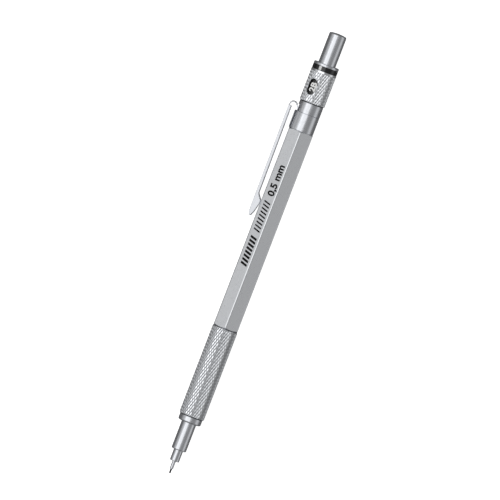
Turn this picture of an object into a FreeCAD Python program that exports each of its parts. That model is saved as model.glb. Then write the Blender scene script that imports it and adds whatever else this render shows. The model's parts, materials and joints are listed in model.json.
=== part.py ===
"""Drafting pencil for 0.5 mm leads, with a hexagonal barrel, a knurled grip,
a pocket clip and a turning sleeve that shows the grade of the lead.

Frame: X runs along the pencil from the tip to the push button, Y points out
through the clip, Z is up.  The origin is on the axis, half way along the grip.
All lengths are millimetres."""

import math
import os

import FreeCAD
import Part
import Sketcher

DIMENSIONS = [
    # name, value, meaning
    ("joint_gap", 0.02, "gap left between parts that are fixed together"),
    ("running_gap", 0.05, "gap left beside parts that turn or slide"),
    ("bore_relief", 0.1, "bores run past the parts inside them by this much"),
    # lengths seen from outside, tip to button
    ("lead_showing", 1.4, "lead standing out of the pipe"),
    ("pipe_showing", 2.6, "pipe standing out of the tip sleeve"),
    ("sleeve_showing", 3.7, "tip sleeve standing out of the nose"),
    ("nose_length", 9.1, "slim part of the nose"),
    ("nose_flange_length", 2.0, "thick rear end of the nose"),
    ("grip_length", 29.4, "knurled grip"),
    ("barrel_length", 65.4, "hexagonal barrel"),
    ("clip_ring_length", 5.6, "ring that holds the clip"),
    ("neck_ring_length", 3.5, "slotted ring behind the clip ring"),
    ("grade_sleeve_length", 10.7, "turning sleeve with the window"),
    ("drum_flange_length", 1.5, "black flange behind the sleeve"),
    ("bush_flange_length", 0.8, "bright flange behind the black one"),
    ("button_showing", 10.2, "push button standing out of the bush"),
    # outside radii and widths
    ("lead_radius", 0.28, "a 0.5 mm lead is drawn 0.56 mm thick"),
    ("pipe_radius", 0.55, "lead pipe"),
    ("sleeve_radius", 1.5, "tip sleeve"),
    ("nose_radius", 2.38, "slim part of the nose"),
    ("nose_flange_radius", 3.68, "thick rear end of the nose"),
    ("grip_radius", 4.07, "over the tops of the knurl"),
    ("across_flats", 7.78, "hexagon of the barrel"),
    ("collar_radius", 3.84, "clip ring and neck ring"),
    ("grade_sleeve_radius", 4.11, "over the tops of the knurl"),
    ("flange_radius", 4.06, "black flange and bright flange"),
    ("button_radius", 2.8, "push button"),
    # roundings and chamfers
    ("hex_edge_round", 0.5, "long edges of the barrel"),
    ("hex_end_chamfer", 0.5, "length of the turned chamfer at both ends of the barrel"),
    ("knurl_chamfer", 0.3, "ends of the knurled parts"),
    ("flange_round", 0.5, "front corner of the nose flange"),
    ("nose_round", 0.3, "front corner of the nose"),
    ("edge_break", 0.1, "sharp edges taken off turned parts"),
    ("button_round", 0.5, "rim of the push button"),
    ("button_dome", 0.35, "height of the domed button end"),
    ("button_crown_radius", 1.7, "where the domed end flattens"),
    ("button_crown_drop", 0.12, "how far it has fallen there"),
    # lead pipe, tip sleeve and lead retainer
    ("pipe_length", 6.0, "whole pipe"),
    ("pipe_bore", 0.3, "radius"),
    ("lip_length", 0.6, "lip of the nose that holds the tip sleeve"),
    ("shank_radius", 1.7, "rear part of the tip sleeve, inside the nose"),
    ("shank_length", 3.6, "rear part of the tip sleeve"),
    ("lead_passage", 0.35, "radius of the hole behind the pipe"),
    ("retainer_pocket", 2.5, "depth of the pocket for the retainer"),
    ("retainer_radius", 1.0, "rubber lead retainer"),
    ("retainer_bore", 0.29, "radius, it just grips the lead"),
    ("retainer_length", 2.2, "rubber lead retainer"),
    # nose, clutch and spring
    ("spigot_radius", 3.2, "threaded end of the nose, inside the grip"),
    ("spigot_length", 5.6, "threaded end of the nose"),
    ("clutch_bore", 2.2, "radius of the nose around the clutch ring"),
    ("clutch_ring_front", -15.7, "front face of the clutch ring at rest"),
    ("clutch_ring_length", 3.0, "clutch ring"),
    ("clutch_ring_radius", 2.1, "clutch ring"),
    ("clutch_ring_travel", 0.6, "how far the ring moves with the chuck"),
    ("cone_gap", 0.024, "between the chuck cone and the ring"),
    ("chuck_front", -16.9, "front face of the chuck at rest"),
    ("chuck_head_radius", 1.55, "widest part of the cone"),
    ("chuck_cone_length", 3.4, "cone of the chuck"),
    ("chuck_cone_rear_radius", 1.2, "thin end of the cone"),
    ("chuck_stem_radius", 0.95, "stem inside the spring"),
    ("chuck_stem_rear", 1.9, "where the stem meets the plug"),
    ("chuck_plug_radius", 1.4, "plug in the lead tube"),
    ("chuck_plug_length", 6.0, "plug in the lead tube"),
    ("jaw_bore", 0.29, "radius between the closed jaws"),
    ("chuck_bore", 0.45, "radius behind the jaws"),
    ("funnel_radius", 1.1, "mouth that guides the next lead"),
    ("funnel_length", 2.0, "mouth that guides the next lead"),
    ("slit_length", 12.8, "slits between the jaws"),
    ("slit_width", 0.3, "slits between the jaws"),
    ("housing_nose_radius", 2.15, "front of the clutch housing"),
    ("housing_radius", 2.95, "clutch housing inside the grip"),
    ("housing_front_bore", 1.15, "radius around the chuck stem"),
    ("housing_bore", 1.9, "radius around spring and lead tube"),
    ("spring_seat", -11.1, "front seat of the return spring"),
    ("spring_wire", 0.3, "diameter of the wire"),
    ("spring_mean_radius", 1.45, "to the middle of the wire"),
    ("spring_coils", 12.0, "number of coils"),
    # grip bores and barrel connector
    ("grip_bore", 3.0, "radius, also of the barrel"),
    ("connector_radius", 3.3, "threaded connector between grip and barrel"),
    ("connector_bore", 2.5, "radius"),
    ("connector_in_grip", 5.8, "length screwed into the grip"),
    ("connector_in_barrel", 6.2, "length screwed into the barrel"),
    ("thread_pitch", 0.6, "ring grooves standing for the thread"),
    ("thread_depth", 0.15, "ring grooves standing for the thread"),
    ("thread_groove_width", 0.48, "at the mouth of each groove"),
    ("spigot_grooves", 7, "number of grooves on the nose"),
    ("connector_grooves", 19, "number of grooves on the connector"),
    # lead tube and its contents
    ("tube_neck_radius", 1.8, "front of the lead tube"),
    ("tube_neck_bore", 1.42, "radius"),
    ("tube_neck_rear", 12.4, "where the neck ends"),
    ("tube_radius", 2.3, "lead tube"),
    ("tube_bore", 1.9, "radius"),
    ("tube_rear", 104.4, "rear end of the lead tube"),
    ("lead_length", 60.0, "new lead"),
    ("spare_lead_front", 29.9, "front of the spare leads"),
    ("spare_lead_side", 0.3, "sideways place of each spare lead"),
    ("spare_lead_drop", 1.57, "how far they lie below the axis"),
    # rear bush, clip ring and neck ring
    ("bush_radius", 3.1, "tube that holds the rear parts together"),
    ("bush_bore", 2.85, "radius"),
    ("bush_in_barrel", 7.2, "length screwed into the barrel"),
    ("boss_height", 4.2, "top of the clip ring on the clip side"),
    ("boss_radius", 3.3, "rounding of the clip ring on the clip side"),
    ("pocket_top", 3.78, "roof of the pocket for the clip tang"),
    ("pocket_width", 2.8, "pocket for the clip tang"),
    ("pocket_depth", 2.5, "pocket for the clip tang"),
    ("neck_slot_width", 3.0, "slot the clip comes out of"),
    ("neck_slot_length", 2.1, "slot the clip comes out of"),
    # clip
    ("clip_sheet", 0.4, "thickness of the spring steel"),
    ("clip_width", 4.0, "arm of the clip"),
    ("tang_width", 2.6, "tang inside the clip ring"),
    ("tang_length", 2.3, "tang inside the clip ring"),
    ("tang_height", 3.15, "underside of the tang above the axis"),
    ("clip_leg_slope", 29.0, "degrees between the leg and the axis"),
    ("clip_bend_x", 86.8, "centre of the bend"),
    ("clip_bend_y", 5.2, "centre of the bend"),
    ("clip_bend_radius", 1.4, "outside of the bend"),
    ("clip_arm_fall", 0.3, "the arm comes this much nearer the barrel along its length"),
    ("clip_flange_edge", 5.5, "lower edge of the side walls, at the bend"),
    ("clip_arm_rear", 86.4, "rear end of the side walls"),
    ("clip_heel_x", 57.55, "where the side walls start to deepen"),
    ("clip_foot_rear", 55.7, "rear end of the part resting on the barrel"),
    ("clip_foot_front", 54.5, "front end of the part resting on the barrel"),
    ("clip_curl_x", 51.7, "where the free end curls up"),
    ("clip_curl_y", 4.6, "underside of the foot where the curl starts"),
    ("clip_tip_x", 50.25, "free end of the clip"),
    ("clip_tip_low", 5.2, "underside of the free end"),
    ("clip_tip_high", 5.95, "outside of the free end"),
    ("clip_tip_bevel", 1.2, "length of the bevel on the outside"),
    ("clip_foot_round", 0.8, "rounding of the foot"),
    ("clip_edge_round", 0.18, "rounding of the edges of the sheet"),
    ("clip_under_round", 0.34, "rounding of the edges nearest the barrel"),
    # grade drum and sleeve
    ("drum_radius", 3.45, "black drum under the sleeve"),
    ("sleeve_bore", 3.5, "radius of the grade sleeve"),
    ("o_ring_place", 1.7, "behind the front end of the drum"),
    ("o_ring_radius", 3.37, "to the middle of the cord"),
    ("o_ring_cord", 0.11, "radius of the cord"),
    ("o_ring_groove", 3.25, "radius of the bottom of the groove"),
    ("o_ring_groove_width", 0.3, "groove in the drum"),
    ("window_length", 5.2, "window in the grade sleeve"),
    ("window_width", 2.9, "window in the grade sleeve"),
    ("window_middle", 94.3, "middle of the window along the pencil"),
    ("window_angle", 27.0, "degrees from straight up toward the clip"),
    # push button, eraser and ferrule
    ("button_bore", 2.35, "radius around the lead tube"),
    ("button_length", 17.0, "whole push button"),
    ("button_end", 1.2, "thickness of the closed end"),
    ("ferrule_radius", 1.88, "cup that holds the eraser"),
    ("ferrule_bore", 1.67, "radius"),
    ("ferrule_length", 5.5, "part inside the lead tube"),
    ("ferrule_wall", 0.4, "bottom of the cup"),
    ("ferrule_rim", 0.5, "rim that rests on the lead tube"),
    ("eraser_radius", 1.65, "eraser"),
    ("eraser_length", 8.0, "eraser"),
    ("eraser_round", 0.3, "end of the eraser"),
]


class Size:
    """A length with its present value and the sheet formula it comes from."""

    def __init__(self, value, formula):
        self.value = value
        self.formula = formula

    def joined(self, other, sign, value):
        return Size(value, f"({self.formula} {sign} {as_size(other).formula})")

    def __add__(self, other):
        return self.joined(other, "+", self.value + as_size(other).value)

    def __sub__(self, other):
        return self.joined(other, "-", self.value - as_size(other).value)

    def __mul__(self, other):
        return self.joined(other, "*", self.value * as_size(other).value)

    def __truediv__(self, other):
        return self.joined(other, "/", self.value / as_size(other).value)

    def __rsub__(self, other):
        return as_size(other) - self

    def __neg__(self):
        return as_size(0) - self


def as_size(number):
    if isinstance(number, Size):
        return number
    return Size(float(number), str(number))


def sine(angle):
    return Size(math.sin(math.radians(angle.value)), f"sin({angle.formula})")


def cosine(angle):
    return Size(math.cos(math.radians(angle.value)), f"cos({angle.formula})")


class Sizes:
    """Reads sizes by name from the sheet of dimensions."""

    def __init__(self, dimensions):
        for name, value, meaning in dimensions:
            setattr(self, name, Size(value, "Dimensions." + name))


def make_sheet(document):
    sheet = document.addObject("Spreadsheet::Sheet", "Dimensions")
    for row, (name, value, meaning) in enumerate(DIMENSIONS, start=1):
        sheet.set(f"A{row}", name)
        sheet.set(f"B{row}", str(value))
        sheet.set(f"C{row}", meaning)
        sheet.setAlias(f"B{row}", name)
    document.recompute()


doc = FreeCAD.newDocument("drafting_pencil")
make_sheet(doc)
d = Sizes(DIMENSIONS)
ZERO = as_size(0)

# Stations along the axis, counted from the middle of the grip.
grip_front = -(d.grip_length / 2)
grip_rear = d.grip_length / 2
nose_flange_front = grip_front - d.nose_flange_length
nose_front = nose_flange_front - d.nose_length
sleeve_front = nose_front - d.sleeve_showing
pipe_mouth = sleeve_front - d.pipe_showing
barrel_rear = grip_rear + d.barrel_length
clip_ring_rear = barrel_rear + d.clip_ring_length
neck_ring_rear = clip_ring_rear + d.neck_ring_length
drum_flange_front = neck_ring_rear + d.grade_sleeve_length
bush_flange_front = drum_flange_front + d.drum_flange_length
bush_rear = bush_flange_front + d.bush_flange_length
button_top = bush_rear + d.button_showing
spigot_rear = grip_front + d.spigot_length
connector_front = grip_rear - d.connector_in_grip
connector_rear = grip_rear + d.connector_in_barrel
bush_front = barrel_rear - d.bush_in_barrel
clutch_ring_rear = d.clutch_ring_front + d.clutch_ring_length
lip_rear = nose_front + d.lip_length
shank_rear = lip_rear + d.shank_length
ferrule_front = d.tube_rear + d.joint_gap - d.ferrule_length
TOLERANCE = 1e-6


def bind(feature, prop, size):
    """Drive a property of a feature by a sheet formula."""
    feature.setExpression(prop, size.formula)


def new_body(name):
    body = doc.addObject("PartDesign::Body", name)
    body.Label = name
    body.Placement = FreeCAD.Placement()
    return body


def new_sketch(body, name, plane, offset=None, turn=None):
    """Empty sketch on a base plane, moved along its normal or turned about X."""
    sketch = body.newObject("Sketcher::SketchObject", name)
    base = next(item for item in body.Origin.OriginFeatures if item.Role == plane)
    sketch.AttachmentSupport = [(base, "")]
    sketch.MapMode = "FlatFace"
    if turn is not None:
        x_axis = FreeCAD.Vector(1, 0, 0)
        sketch.AttachmentOffset = FreeCAD.Placement(
            FreeCAD.Vector(), FreeCAD.Rotation(x_axis, turn.value)
        )
        bind(sketch, "AttachmentOffset.Rotation.Angle", turn)
    if offset is not None:
        bind(sketch, "AttachmentOffset.Base.z", offset)
    return sketch


def pin_point(sketch, edge, end, point):
    """Fix one end of an edge at a point given by two sizes."""
    for kind, axis, size in (("DistanceX", -2, point[0]), ("DistanceY", -1, point[1])):
        if abs(size.value) < TOLERANCE:
            sketch.addConstraint(Sketcher.Constraint("PointOnObject", edge, end, axis))
            continue
        made = Sketcher.Constraint(kind, -1, 1, edge, end, size.value)
        index = sketch.addConstraint(made)
        bind(sketch, f"Constraints[{index}]", size)


def draw_outline(sketch, points):
    """Closed outline of straight lines through the points."""
    count = len(points)
    start = sketch.GeometryCount
    for i in range(count):
        here = FreeCAD.Vector(points[i][0].value, points[i][1].value, 0)
        following = points[(i + 1) % count]
        there = FreeCAD.Vector(following[0].value, following[1].value, 0)
        sketch.addGeometry(Part.LineSegment(here, there))
    for i in range(count):
        following = start + (i + 1) % count
        sketch.addConstraint(Sketcher.Constraint("Coincident", start + i, 2, following, 1))
    for i in range(count):
        pin_point(sketch, start + i, 1, points[i])


def draw_circle(sketch, centre, radius):
    middle = FreeCAD.Vector(centre[0].value, centre[1].value, 0)
    normal = FreeCAD.Vector(0, 0, 1)
    edge = sketch.addGeometry(Part.Circle(middle, normal, radius.value))
    pin_point(sketch, edge, 3, centre)
    index = sketch.addConstraint(Sketcher.Constraint("Radius", edge, radius.value))
    bind(sketch, f"Constraints[{index}]", radius)


def turned(body, name, outline):
    """Solid turned about X from half of its section, points as (x, radius)."""
    sketch = new_sketch(body, name + "Section", "XZ_Plane")
    draw_outline(sketch, [(as_size(x), as_size(r)) for x, r in outline])
    solid = body.newObject("PartDesign::Revolution", name)
    solid.Profile = sketch
    solid.ReferenceAxis = (sketch, ["H_Axis"])
    solid.Angle = 360
    doc.recompute()
    return solid


def turned_away(body, name, outline):
    """Cut turned about X, points as (x, radius)."""
    before = body.Shape.Volume
    sketch = new_sketch(body, name + "Section", "XZ_Plane")
    draw_outline(sketch, [(as_size(x), as_size(r)) for x, r in outline])
    cut = body.newObject("PartDesign::Groove", name)
    cut.Profile = sketch
    cut.ReferenceAxis = (sketch, ["H_Axis"])
    cut.Angle = 360
    doc.recompute()
    check_cut(body, name, before)
    return cut


def padded(body, name, sketch, length, midplane=True):
    solid = body.newObject("PartDesign::Pad", name)
    solid.Profile = sketch
    solid.Midplane = midplane
    bind(solid, "Length", length)
    doc.recompute()
    return solid


def pocketed(body, name, sketch, length, midplane=False, reverse=False):
    before = body.Shape.Volume
    cut = body.newObject("PartDesign::Pocket", name)
    cut.Profile = sketch
    cut.Midplane = midplane
    cut.Reversed = reverse
    bind(cut, "Length", length)
    doc.recompute()
    check_cut(body, name, before)
    return cut


def check_cut(body, name, before):
    if body.Shape.Volume > before - TOLERANCE:
        raise RuntimeError(f"{body.Label}: {name} removed nothing")


def edges_where(feature, wanted):
    """Names of the edges of a feature for which wanted(edge) is true."""
    names = []
    for number, edge in enumerate(feature.Shape.Edges, start=1):
        if wanted(edge):
            names.append(f"Edge{number}")
    if not names:
        raise RuntimeError(f"{feature.Label}: no edge to round")
    return names


def ring_at(x, radius):
    """Test for the circular edge of a turned part at x with this radius."""

    def wanted(edge):
        box = edge.BoundBox
        flat = box.XLength < 0.001 and abs(box.XMin - x.value) < 0.001
        return flat and abs(box.ZMax - radius.value) < 0.001

    return wanted


def rounded(body, name, feature, wanted, radius):
    fillet = body.newObject("PartDesign::Fillet", name)
    fillet.Base = (feature, edges_where(feature, wanted))
    bind(fillet, "Radius", radius)
    doc.recompute()
    return fillet


def tube(body, name, front, rear, outer, bore, chamfer=ZERO):
    """Plain tube, with an outside chamfer at both ends when one is given."""
    outline = [(front, bore), (front, outer - chamfer)]
    if chamfer.value > 0:
        outline.append((front + chamfer, outer))
        outline.append((rear - chamfer, outer))
    outline += [(rear, outer - chamfer), (rear, bore)]
    return turned(body, name, outline)


def rod(body, name, front, rear, radius):
    outline = [(front, ZERO), (front, radius), (rear, radius), (rear, ZERO)]
    return turned(body, name, outline)


def ring_grooves(body, first, count, radius):
    """Row of V grooves that stands for a screw thread."""
    half = d.thread_groove_width / 2
    groove = turned_away(
        body,
        "ThreadGroove",
        [
            (first - half, radius + d.edge_break),
            (first, radius - d.thread_depth),
            (first + half, radius + d.edge_break),
        ],
    )
    row = body.newObject("PartDesign::LinearPattern", "Thread")
    row.Originals = [groove]
    row.Direction = (groove.Profile[0], ["H_Axis"])
    bind(row, "Occurrences", count)
    bind(row, "Length", d.thread_pitch * (count - 1))
    body.Tip = row
    doc.recompute()
    return row


# ---------------------------------------------------------------- tip

def make_lead_pipe():
    body = new_body("lead_pipe")
    rear = pipe_mouth + d.pipe_length
    turned(
        body,
        "Pipe",
        [
            (pipe_mouth, d.pipe_bore),
            (pipe_mouth, d.pipe_radius - d.edge_break),
            (pipe_mouth + d.edge_break, d.pipe_radius),
            (rear, d.pipe_radius),
            (rear, d.pipe_bore),
        ],
    )
    return body


def make_tip_sleeve():
    """Stepped sleeve that carries the pipe, with a pocket for the retainer."""
    body = new_body("tip_sleeve")
    pipe_seat = pipe_mouth + d.pipe_length + d.joint_gap
    pipe_hole = d.pipe_radius + d.joint_gap / 2
    pocket_front = shank_rear - d.retainer_pocket
    pocket_radius = d.retainer_radius + d.joint_gap
    shoulder = lip_rear + d.joint_gap
    sleeve = turned(
        body,
        "Sleeve",
        [
            (sleeve_front, pipe_hole),
            (sleeve_front, d.sleeve_radius),
            (shoulder, d.sleeve_radius),
            (shoulder, d.shank_radius),
            (shank_rear, d.shank_radius),
            (shank_rear, pocket_radius),
            (pocket_front, pocket_radius),
            (pocket_front, d.lead_passage),
            (pipe_seat, d.lead_passage),
            (pipe_seat, pipe_hole),
        ],
    )
    edge = ring_at(sleeve_front, d.sleeve_radius)
    rounded(body, "FrontRounding", sleeve, edge, d.edge_break * 2)
    return body


def make_lead_retainer():
    body = new_body("lead_retainer")
    front = shank_rear - d.retainer_pocket + d.joint_gap
    tube(body, "Retainer", front, front + d.retainer_length, d.retainer_radius, d.retainer_bore)
    return body


def make_nose():
    """Slim nose with a thick flange and a threaded spigot for the grip."""
    body = new_body("nose")
    flange_rear = grip_front - d.joint_gap
    ring_stop = d.clutch_ring_front - d.clutch_ring_travel - d.running_gap
    lip_bore = d.sleeve_radius + d.joint_gap
    shank_bore = d.shank_radius + d.joint_gap
    turning = turned(
        body,
        "Turning",
        [
            (nose_front, lip_bore),
            (nose_front, d.nose_radius),
            (nose_flange_front, d.nose_radius),
            (nose_flange_front, d.nose_flange_radius),
            (flange_rear - d.edge_break, d.nose_flange_radius),
            (flange_rear, d.nose_flange_radius - d.edge_break),
            (flange_rear, d.spigot_radius),
            (spigot_rear, d.spigot_radius),
            (spigot_rear, d.clutch_bore),
            (ring_stop, d.clutch_bore),
            (ring_stop, shank_bore),
            (lip_rear, shank_bore),
            (lip_rear, lip_bore),
        ],
    )
    corner = ring_at(nose_front, d.nose_radius)
    smooth = rounded(body, "NoseRounding", turning, corner, d.nose_round)
    corner = ring_at(nose_flange_front, d.nose_flange_radius)
    rounded(body, "FlangeRounding", smooth, corner, d.flange_round)
    thread_start = flange_rear + d.thread_pitch * 1.5
    ring_grooves(body, thread_start, d.spigot_grooves, d.spigot_radius)
    return body


# ------------------------------------------------- grip and clutch

def make_grip():
    """Knurled tube; the knurl itself is left to the surface finish."""
    body = new_body("grip")
    rear = grip_rear - d.joint_gap
    front_bore = d.spigot_radius + d.joint_gap
    front_bore_end = spigot_rear + d.bore_relief * 2
    rear_bore = d.connector_radius + d.joint_gap
    rear_bore_end = connector_front - d.bore_relief
    turned(
        body,
        "Grip",
        [
            (grip_front, front_bore),
            (grip_front, d.grip_radius - d.knurl_chamfer),
            (grip_front + d.knurl_chamfer, d.grip_radius),
            (rear - d.knurl_chamfer, d.grip_radius),
            (rear, d.grip_radius - d.knurl_chamfer),
            (rear, rear_bore),
            (rear_bore_end, rear_bore),
            (rear_bore_end, d.grip_bore),
            (front_bore_end, d.grip_bore),
            (front_bore_end, front_bore),
        ],
    )
    return body


def make_clutch_housing():
    """Stepped tube that stops the clutch ring and seats the spring."""
    body = new_body("clutch_housing")
    front = clutch_ring_rear + d.joint_gap
    shoulder = spigot_rear + d.joint_gap
    rear = connector_front - d.joint_gap
    turned(
        body,
        "Housing",
        [
            (front, d.housing_front_bore),
            (front, d.housing_nose_radius),
            (shoulder, d.housing_nose_radius),
            (shoulder, d.housing_radius),
            (rear, d.housing_radius),
            (rear, d.housing_bore),
            (d.spring_seat, d.housing_bore),
            (d.spring_seat, d.housing_front_bore),
        ],
    )
    return body


def cone_slope():
    drop = d.chuck_head_radius - d.chuck_cone_rear_radius
    return drop / d.chuck_cone_length


def make_clutch_ring():
    """Ring whose tapered bore presses the jaws onto the lead."""
    body = new_body("clutch_ring")
    into_cone = d.clutch_ring_front - d.chuck_front
    front_bore = d.chuck_head_radius - cone_slope() * into_cone + d.cone_gap
    rear_bore = front_bore - cone_slope() * d.clutch_ring_length
    turned(
        body,
        "Ring",
        [
            (d.clutch_ring_front, front_bore),
            (d.clutch_ring_front, d.clutch_ring_radius - d.edge_break),
            (d.clutch_ring_front + d.edge_break, d.clutch_ring_radius),
            (clutch_ring_rear - d.edge_break, d.clutch_ring_radius),
            (clutch_ring_rear, d.clutch_ring_radius - d.edge_break),
            (clutch_ring_rear, rear_bore),
        ],
    )
    return body


def make_chuck():
    """Brass chuck: a cone split into three jaws, a stem and a plug."""
    body = new_body("chuck")
    cone_rear = d.chuck_front + d.chuck_cone_length
    plug_rear = d.chuck_stem_rear + d.chuck_plug_length
    turned(
        body,
        "Turning",
        [
            (d.chuck_front, d.jaw_bore),
            (d.chuck_front, d.chuck_head_radius),
            (cone_rear, d.chuck_cone_rear_radius),
            (cone_rear, d.chuck_stem_radius),
            (d.chuck_stem_rear, d.chuck_stem_radius),
            (d.chuck_stem_rear, d.chuck_plug_radius),
            (plug_rear, d.chuck_plug_radius),
            (plug_rear, d.funnel_radius),
            (plug_rear - d.funnel_length, d.chuck_bore),
            (cone_rear, d.chuck_bore),
            (cone_rear, d.jaw_bore),
        ],
    )
    before_front = d.chuck_front - d.edge_break
    slit_end = d.chuck_front + d.slit_length
    slit_top = d.chuck_head_radius + d.edge_break
    sketch = new_sketch(body, "SlitOutline", "XY_Plane")
    draw_outline(
        sketch,
        [
            (before_front, ZERO),
            (slit_end, ZERO),
            (slit_end, slit_top),
            (before_front, slit_top),
        ],
    )
    slit = pocketed(body, "Slit", sketch, d.slit_width, midplane=True)
    jaws = body.newObject("PartDesign::PolarPattern", "Slits")
    jaws.Originals = [slit]
    jaws.Axis = (sketch, ["H_Axis"])
    jaws.Angle = 360
    jaws.Occurrences = 3
    body.Tip = jaws
    doc.recompute()
    return body


def make_return_spring():
    """Compression spring between the clutch housing and the lead tube."""
    body = new_body("return_spring")
    wire_radius = d.spring_wire / 2
    first = d.spring_seat + d.joint_gap + wire_radius
    last = d.chuck_stem_rear - d.joint_gap - wire_radius
    sketch = new_sketch(body, "Wire", "XY_Plane")
    draw_circle(sketch, (first, d.spring_mean_radius), wire_radius)
    coil = body.newObject("PartDesign::AdditiveHelix", "Coil")
    coil.Profile = sketch
    coil.ReferenceAxis = (sketch, ["H_Axis"])
    coil.Mode = "pitch-turns-angle"
    bind(coil, "Pitch", (last - first) / d.spring_coils)
    bind(coil, "Turns", d.spring_coils)
    doc.recompute()
    return body


# ------------------------------------------------ leads and tube

def make_lead_tube():
    body = new_body("lead_tube")
    front = d.chuck_stem_rear + d.joint_gap
    funnel_front = d.tube_neck_rear + d.tube_bore - d.tube_neck_bore
    turned(
        body,
        "Tube",
        [
            (front, d.tube_neck_bore),
            (front, d.tube_neck_radius),
            (d.tube_neck_rear, d.tube_neck_radius),
            (d.tube_neck_rear, d.tube_radius),
            (d.tube_rear, d.tube_radius),
            (d.tube_rear, d.tube_bore),
            (funnel_front + d.tube_bore - d.tube_neck_bore, d.tube_bore),
            (funnel_front, d.tube_neck_bore),
        ],
    )
    return body


def make_lead():
    body = new_body("lead")
    front = pipe_mouth - d.lead_showing
    rod(body, "Lead", front, front + d.lead_length, d.lead_radius)
    return body


def make_spare_lead(name, side):
    """One of two spare leads lying on the floor of the lead tube."""
    body = new_body(name)
    rod(body, "Lead", ZERO, d.lead_length, d.lead_radius)
    bind(body, "Placement.Base.x", d.spare_lead_front)
    bind(body, "Placement.Base.y", d.spare_lead_side * side)
    bind(body, "Placement.Base.z", -d.spare_lead_drop)
    return body


# -------------------------------------------------------- barrel

def make_barrel_connector():
    body = new_body("barrel_connector")
    tube(
        body,
        "Connector",
        connector_front,
        connector_rear,
        d.connector_radius,
        d.connector_bore,
        d.edge_break * 2,
    )
    first = connector_front + d.thread_pitch
    ring_grooves(body, first, d.connector_grooves, d.connector_radius)
    return body


def make_barrel():
    """Hexagonal bar, two faces square to Y, bored right through."""
    body = new_body("barrel")
    rear = barrel_rear - d.joint_gap
    half_flat = d.across_flats / 2
    half_side = d.across_flats / (2 * math.sqrt(3))
    corner = half_side * 2
    sketch = new_sketch(body, "Hexagon", "YZ_Plane", offset=grip_rear)
    draw_outline(
        sketch,
        [
            (half_flat, half_side),
            (ZERO, corner),
            (-half_flat, half_side),
            (-half_flat, -half_side),
            (ZERO, -corner),
            (half_flat, -half_side),
        ],
    )
    stock = padded(body, "Stock", sketch, rear - grip_rear, midplane=False)

    def long_edge(edge):
        return edge.BoundBox.XLength > d.across_flats.value

    rounded(body, "LongEdges", stock, long_edge, d.hex_edge_round)
    outside = corner + d.edge_break
    inside = half_flat - d.edge_break
    for name, end, inward in (("FrontChamfer", grip_rear, 1), ("RearChamfer", rear, -1)):
        turned_away(
            body,
            name,
            [
                (end, inside),
                (end + d.hex_end_chamfer * inward, outside),
                (end, outside),
            ],
        )
    connector_hole = d.connector_radius + d.joint_gap
    connector_hole_end = connector_rear + d.bore_relief
    bush_hole = d.bush_radius + d.joint_gap
    bush_hole_end = bush_front - d.bore_relief
    turned_away(
        body,
        "Bores",
        [
            (grip_rear, ZERO),
            (grip_rear, connector_hole),
            (connector_hole_end, connector_hole),
            (connector_hole_end, d.grip_bore),
            (bush_hole_end, d.grip_bore),
            (bush_hole_end, bush_hole),
            (rear, bush_hole),
            (rear, ZERO),
        ],
    )
    return body


# ------------------------------------------------------ rear end

def make_tail_bush():
    """Thin tube screwed into the barrel; its flange holds the rear rings on."""
    body = new_body("tail_bush")
    bush = turned(
        body,
        "Bush",
        [
            (bush_front, d.bush_bore),
            (bush_front, d.bush_radius),
            (bush_flange_front, d.bush_radius),
            (bush_flange_front, d.flange_radius),
            (bush_rear, d.flange_radius),
            (bush_rear, d.bush_bore),
        ],
    )
    edge = ring_at(bush_rear, d.flange_radius)
    rounded(body, "FlangeRounding", bush, edge, d.edge_break * 3)
    return body


def make_clip_ring():
    """Ring with a swelling on the clip side and a pocket for the tang."""
    body = new_body("clip_ring")
    rear = clip_ring_rear - d.joint_gap
    bore = d.bush_radius + d.joint_gap
    tube(body, "Ring", barrel_rear, rear, d.collar_radius, bore, d.edge_break)
    sketch = new_sketch(body, "SwellingOutline", "YZ_Plane", offset=barrel_rear)
    draw_circle(sketch, (d.boss_height - d.boss_radius, ZERO), d.boss_radius)
    length = rear - barrel_rear
    padded(body, "Swelling", sketch, length, midplane=False)
    turned_away(
        body,
        "Bore",
        [(barrel_rear, ZERO), (barrel_rear, bore), (rear, bore), (rear, ZERO)],
    )
    half = d.pocket_width / 2
    sketch = new_sketch(body, "PocketOutline", "YZ_Plane", offset=rear)
    draw_outline(
        sketch,
        [
            (d.bush_bore, -half),
            (d.pocket_top, -half),
            (d.pocket_top, half),
            (d.bush_bore, half),
        ],
    )
    pocketed(body, "TangPocket", sketch, d.pocket_depth)
    return body


def make_neck_ring():
    """Ring with a slot, open at the front, that the clip comes out of."""
    body = new_body("neck_ring")
    rear = neck_ring_rear - d.joint_gap
    bore = d.bush_radius + d.joint_gap
    tube(body, "Ring", clip_ring_rear, rear, d.collar_radius, bore, d.edge_break)
    half = d.neck_slot_width / 2
    front = clip_ring_rear - d.edge_break
    end = clip_ring_rear + d.neck_slot_length
    sketch = new_sketch(body, "SlotOutline", "XZ_Plane")
    draw_outline(sketch, [(front, -half), (end, -half), (end, half), (front, half)])
    pocketed(body, "Slot", sketch, d.collar_radius + d.edge_break)
    return body


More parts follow.
